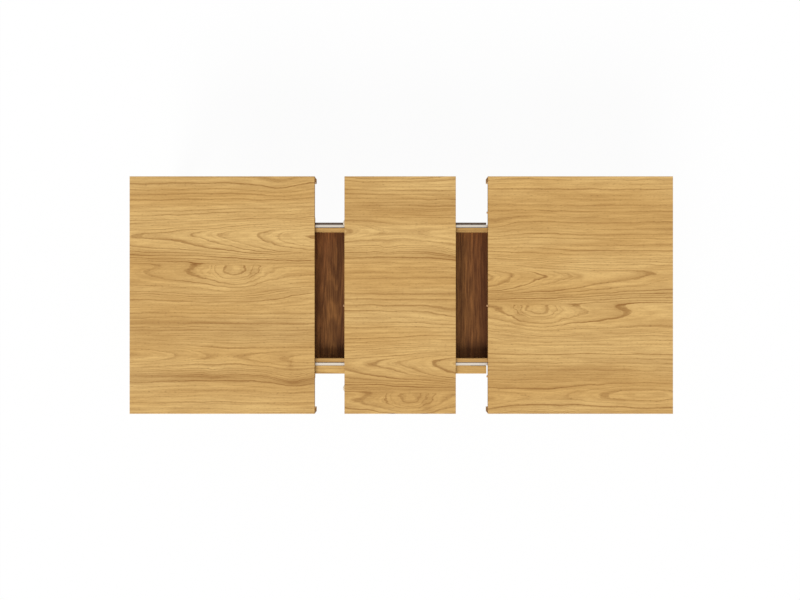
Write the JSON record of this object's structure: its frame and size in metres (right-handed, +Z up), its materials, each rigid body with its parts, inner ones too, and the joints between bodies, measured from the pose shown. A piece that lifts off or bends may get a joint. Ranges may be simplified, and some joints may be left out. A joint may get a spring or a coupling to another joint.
{
  "type": "extension dining table",
  "caption": "Oak dining table whose split top draws apart on telescopic slides over a leaf tray, with a loose centre leaf laid on the tray sides.",
  "frame": {"origin": "on the floor, under the middle of the table", "axes": "+X along the table to the right half, +Y across it to the far long side, +Z up"},
  "size_m": [2.059, 0.9, 0.75],
  "materials": {
    "oak": "satin lacquered honey oak",
    "oak_rail": "satin lacquered oak",
    "walnut": "satin walnut",
    "frame_beech": "sawn beech, unfinished",
    "pin_beech": "turned beech",
    "slide_steel": "zinc-plated rolled steel",
    "dark_steel": "dark brown painted steel",
    "screw_steel": "yellow-passivated zinc",
    "zinc_bolts": "bright zinc",
    "tongue_plastic": "moulded plastic, beige",
    "glide_plastic": "moulded plastic, brown"
  },
  "bodies": {
    "leaf": {"leaf_panel": "oak", "leaf_pin": "pin_beech", "leaf_tongues": "tongue_plastic"},
    "left_half": {"left_apron_end": "oak", "left_apron_north": "oak", "left_apron_south": "oak", "left_cleats": "frame_beech", "left_corner_blocks": "frame_beech", "left_cross_beam": "frame_beech", "left_glides": "glide_plastic", "left_leg_bolts": "zinc_bolts", "left_leg_north": "oak", "left_leg_nuts": "zinc_bolts", "left_leg_south": "oak", "left_leg_washers": "zinc_bolts", "left_slide_screws": "screw_steel", "left_top": "oak", "left_top_screws": "screw_steel", "loper_cheeks": "frame_beech", "loper_north": "dark_steel", "loper_south": "oak_rail", "slide_inner_nw": "slide_steel", "slide_inner_sw": "slide_steel"},
    "left_inner_cages": {"left_inner_ball_cages": "zinc_bolts"},
    "left_outer_cages": {"left_outer_ball_cages": "zinc_bolts"},
    "right_half": {"right_apron_end": "oak", "right_apron_north": "oak", "right_apron_south": "oak", "right_cleats": "frame_beech", "right_corner_blocks": "frame_beech", "right_cross_beam": "frame_beech", "right_glides": "glide_plastic", "right_leg_bolts": "zinc_bolts", "right_leg_north": "oak", "right_leg_nuts": "zinc_bolts", "right_leg_south": "oak", "right_leg_washers": "zinc_bolts", "right_pins": "pin_beech", "right_slide_screws": "screw_steel", "right_top": "oak", "right_top_screws": "screw_steel", "slide_inner_ne": "slide_steel", "slide_inner_se": "slide_steel"},
    "right_inner_cages": {"right_inner_ball_cages": "zinc_bolts"},
    "right_outer_cages": {"right_outer_ball_cages": "zinc_bolts"},
    "tray_frame": {"slide_fixed_ne": "slide_steel", "slide_fixed_nw": "slide_steel", "slide_fixed_screws": "screw_steel", "slide_fixed_se": "slide_steel", "slide_fixed_sw": "slide_steel", "tray_battens": "frame_beech", "tray_ends": "walnut", "tray_floor": "walnut", "tray_joint_screws": "screw_steel", "tray_packers": "frame_beech", "tray_side_north": "oak_rail", "tray_side_south": "oak_rail"},
    "right_slide_middles": {"slide_middle_ne": "slide_steel", "slide_middle_se": "slide_steel"},
    "left_slide_middles": {"slide_middle_nw": "slide_steel", "slide_middle_sw": "slide_steel"}
  },
  "joints": [
    {"name": "left_slide", "type": "slide", "parent": "tray_frame", "child": "left_half", "axis": [-1, 0, 0], "range_m": [-0.1128, 0.0225]},
    {"name": "right_slide", "type": "slide", "parent": "tray_frame", "child": "right_half", "axis": [1, 0, 0], "range_m": [-0.1216, 0.0225]},
    {"name": "leaf_lift", "type": "slide", "parent": "tray_frame", "child": "leaf", "axis": [0, 0, 1], "range_m": [0, 0.3]},
    {"name": "left_middle_slide", "type": "slide", "parent": "tray_frame", "child": "left_slide_middles", "axis": [-1, 0, 0], "range_m": [-0.0564, 0.01125]},
    {"name": "right_middle_slide", "type": "slide", "parent": "tray_frame", "child": "right_slide_middles", "axis": [1, 0, 0], "range_m": [-0.0608, 0.01125]},
    {"name": "left_outer_cage_slide", "type": "slide", "parent": "tray_frame", "child": "left_outer_cages", "axis": [-1, 0, 0], "range_m": [-0.0282, 0.00562]},
    {"name": "left_inner_cage_slide", "type": "slide", "parent": "tray_frame", "child": "left_inner_cages", "axis": [-1, 0, 0], "range_m": [-0.0846, 0.01688]},
    {"name": "right_outer_cage_slide", "type": "slide", "parent": "tray_frame", "child": "right_outer_cages", "axis": [1, 0, 0], "range_m": [-0.0304, 0.00562]},
    {"name": "right_inner_cage_slide", "type": "slide", "parent": "tray_frame", "child": "right_inner_cages", "axis": [1, 0, 0], "range_m": [-0.0912, 0.01688]}
  ],
  "couplings": [
    {"joint": "left_middle_slide", "follows": "left_slide", "ratio": 0.5},
    {"joint": "right_middle_slide", "follows": "right_slide", "ratio": 0.5},
    {"joint": "left_outer_cage_slide", "follows": "left_slide", "ratio": 0.25},
    {"joint": "left_inner_cage_slide", "follows": "left_slide", "ratio": 0.75},
    {"joint": "right_outer_cage_slide", "follows": "right_slide", "ratio": 0.25},
    {"joint": "right_inner_cage_slide", "follows": "right_slide", "ratio": 0.75}
  ]
}
